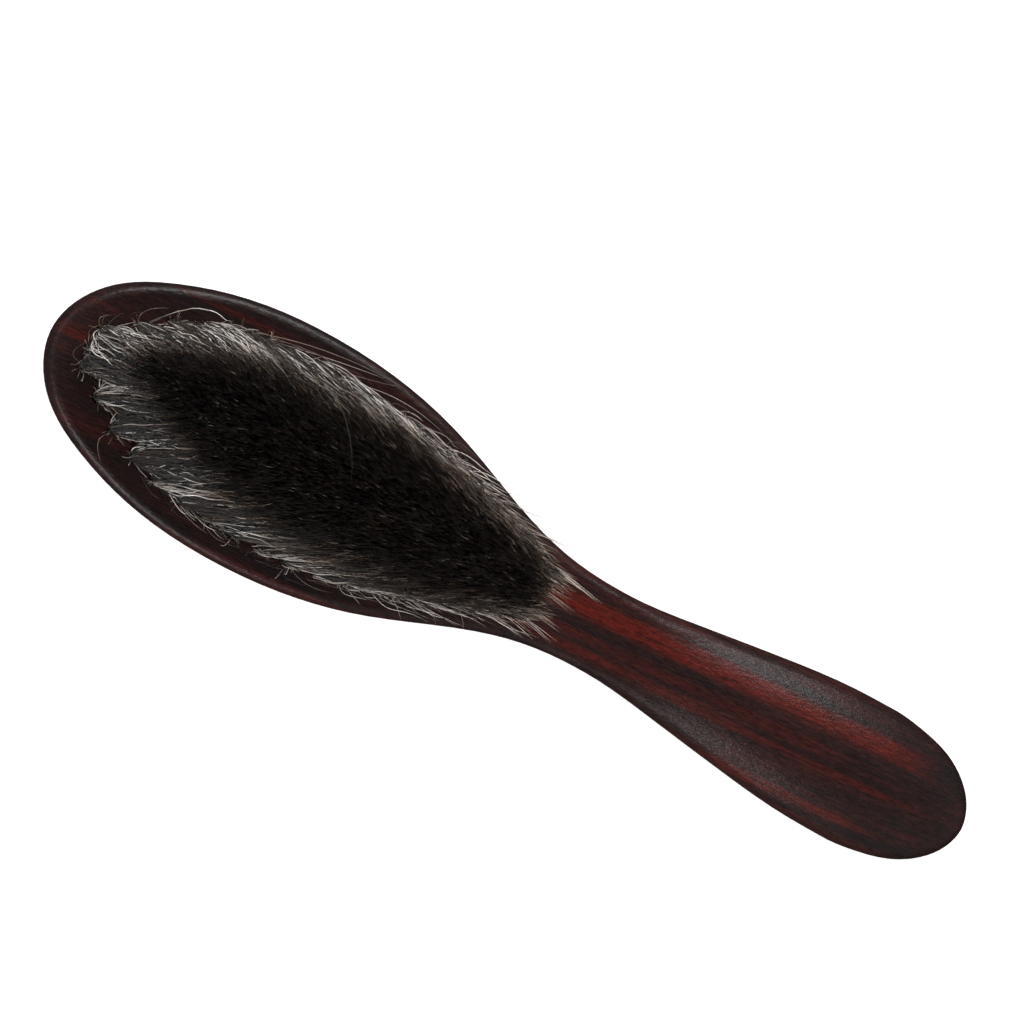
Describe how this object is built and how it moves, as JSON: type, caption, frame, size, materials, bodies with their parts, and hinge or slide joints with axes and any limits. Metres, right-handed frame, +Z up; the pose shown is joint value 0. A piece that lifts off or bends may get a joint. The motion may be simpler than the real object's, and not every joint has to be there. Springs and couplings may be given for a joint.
{
  "type": "neck duster brush",
  "caption": "Barber's neck duster: a flat oval wooden head holding a dense block of long soft hair tufts, with a waisted neck and a rounded handle.",
  "frame": {"origin": "middle of the bounding box, on the plane the brush rests on when it lies on its back", "axes": "+X from the tip of the oval head to the end of the handle, +Y across the head, +Z up, the way the hair points"},
  "size_m": [0.23, 0.0546, 0.092],
  "materials": {
    "lacquered_wood": "dark brown, satin gloss lacquer, red brown grain",
    "hair": "long soft hair, dark brown with lighter tips",
    "anchor_wire": "plain drawn flat wire"
  },
  "bodies": {
    "root": {"brush_body": "lacquered_wood", "tufts_row_01": "hair", "tufts_row_02": "hair", "tufts_row_03": "hair", "tufts_row_04": "hair", "tufts_row_05": "hair", "tufts_row_06": "hair", "tufts_row_07": "hair", "tufts_row_08": "hair", "tufts_row_09": "hair", "tufts_row_10": "hair", "tufts_row_11": "hair", "tufts_row_12": "hair", "tufts_row_13": "hair", "tufts_row_14": "hair", "tufts_row_15": "hair", "anchors_row_01": "anchor_wire", "anchors_row_02": "anchor_wire", "anchors_row_03": "anchor_wire", "anchors_row_04": "anchor_wire", "anchors_row_05": "anchor_wire", "anchors_row_06": "anchor_wire", "anchors_row_07": "anchor_wire", "anchors_row_08": "anchor_wire", "anchors_row_09": "anchor_wire", "anchors_row_10": "anchor_wire", "anchors_row_11": "anchor_wire", "anchors_row_12": "anchor_wire", "anchors_row_13": "anchor_wire", "anchors_row_14": "anchor_wire", "anchors_row_15": "anchor_wire"}
  },
  "joints": []
}
